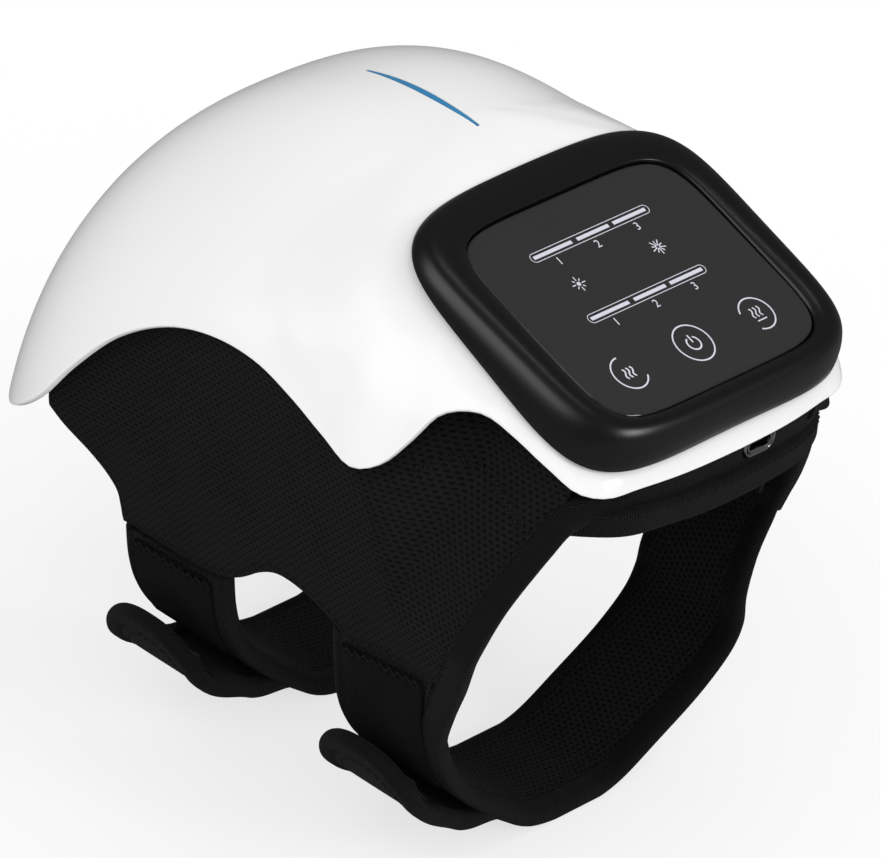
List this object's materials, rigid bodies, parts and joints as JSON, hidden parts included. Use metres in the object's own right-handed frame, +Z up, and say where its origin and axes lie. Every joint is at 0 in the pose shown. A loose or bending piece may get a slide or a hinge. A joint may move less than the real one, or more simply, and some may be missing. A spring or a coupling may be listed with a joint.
{
  "type": "heated knee massager",
  "caption": "Domed knee massager with a tilted touch panel, a padded fabric tunnel for the leg and two hook-and-loop straps.",
  "frame": {"origin": "centre of the bounding box in plan, at the height of the strap bottoms", "axes": "+Z up, away from the leg; +Y towards the shin, so the touch panel faces -Y and up; +X to the wearer's right of the panel"},
  "size_m": [0.1816, 0.2108, 0.1846],
  "materials": {
    "shell_white": "smooth high-gloss white ABS",
    "inlay_blue": "translucent blue light bar, flush",
    "bezel_black": "high-gloss black ring with a crowned bevel",
    "panel_glass": "dark tinted touch glass with printed white marks",
    "guide_white": "milky light guide",
    "circuit_board": "green solder-masked board",
    "frame_grey": "plain moulded ABS, fine texture",
    "heater_film": "amber heating film",
    "liner_cloth": "padded knitted lining",
    "mesh_cloth": "black spacer-mesh cloth with small open cells",
    "binding_tape": "ribbed elastic binding tape",
    "loop_cloth": "short loop pile",
    "hook_tape": "moulded hook tape",
    "spring_steel": "plain steel",
    "motor_steel": "zinc-plated drawn can",
    "port_chrome": "bright plated surround",
    "weight_brass": "turned and cut brass",
    "cell_wrap": "shrink-wrapped cell",
    "window_red": "clear red lamp window",
    "emitter_can": "small metal emitter can"
  },
  "bodies": {
    "massager": {"outer_shell": "shell_white", "accent_inlay": "inlay_blue", "accent_lamp_board": "circuit_board", "panel_bezel": "bezel_black", "touch_glass": "panel_glass", "light_guide": "guide_white", "panel_board": "circuit_board", "key_spring_left": "spring_steel", "key_spring_middle": "spring_steel", "key_spring_right": "spring_steel", "inner_frame": "frame_grey", "heating_pad": "heater_film", "knee_liner": "liner_cloth", "shell_screw_front_left": "spring_steel", "shell_screw_front_right": "spring_steel", "shell_screw_rear_left": "spring_steel", "shell_screw_rear_right": "spring_steel", "main_board": "circuit_board", "buzzer": "frame_grey", "battery_cell_front": "cell_wrap", "battery_cell_rear": "cell_wrap", "left_motor": "motor_steel", "left_motor_clip": "spring_steel", "right_motor": "motor_steel", "right_motor_clip": "spring_steel", "lamp_window": "window_red", "lamp_board": "circuit_board", "lamp_emitter_1": "emitter_can", "lamp_emitter_2": "emitter_can", "lamp_emitter_3": "emitter_can", "front_flap": "mesh_cloth", "port_surround": "port_chrome", "usb_socket": "spring_steel", "charge_board": "circuit_board", "side_cover_left": "mesh_cloth", "side_cover_right": "mesh_cloth", "front_binding": "binding_tape", "rear_binding": "binding_tape", "thigh_strap_root": "mesh_cloth", "thigh_loop_patch": "loop_cloth", "calf_strap_root": "mesh_cloth", "calf_loop_patch": "loop_cloth"},
    "thigh_strap_band": {"thigh_strap": "mesh_cloth"},
    "thigh_strap_tab": {"thigh_tab": "mesh_cloth", "thigh_hook_patch": "hook_tape"},
    "calf_strap_band": {"calf_strap": "mesh_cloth"},
    "calf_strap_tab": {"calf_tab": "mesh_cloth", "calf_hook_patch": "hook_tape"},
    "left_rotor": {"left_motor_weight": "weight_brass"},
    "right_rotor": {"right_motor_weight": "weight_brass"}
  },
  "joints": [
    {"name": "thigh_strap_open", "type": "hinge", "parent": "massager", "child": "thigh_strap_band", "pos_m": [0.07574, -0.05737, 0.06787], "axis": [0, -1, 0], "range_deg": [0, 90]},
    {"name": "thigh_tab_peel", "type": "hinge", "parent": "thigh_strap_band", "child": "thigh_strap_tab", "pos_m": [-0.03442, -0.05737, 0.00961], "axis": [0, -1, 0], "range_deg": [0, 45]},
    {"name": "calf_strap_open", "type": "hinge", "parent": "massager", "child": "calf_strap_band", "pos_m": [0.07041, 0.02113, 0.0599], "axis": [0, -1, 0], "range_deg": [0, 90]},
    {"name": "calf_tab_peel", "type": "hinge", "parent": "calf_strap_band", "child": "calf_strap_tab", "pos_m": [-0.03442, 0.02113, 0.00961], "axis": [0, -1, 0], "range_deg": [0, 45]},
    {"name": "left_motor_spin", "type": "hinge", "parent": "massager", "child": "left_rotor", "pos_m": [-0.045, -0.00937, 0.157], "axis": [0, 1, 0], "continuous": true},
    {"name": "right_motor_spin", "type": "hinge", "parent": "massager", "child": "right_rotor", "pos_m": [0.045, -0.00937, 0.157], "axis": [0, 1, 0], "continuous": true}
  ]
}
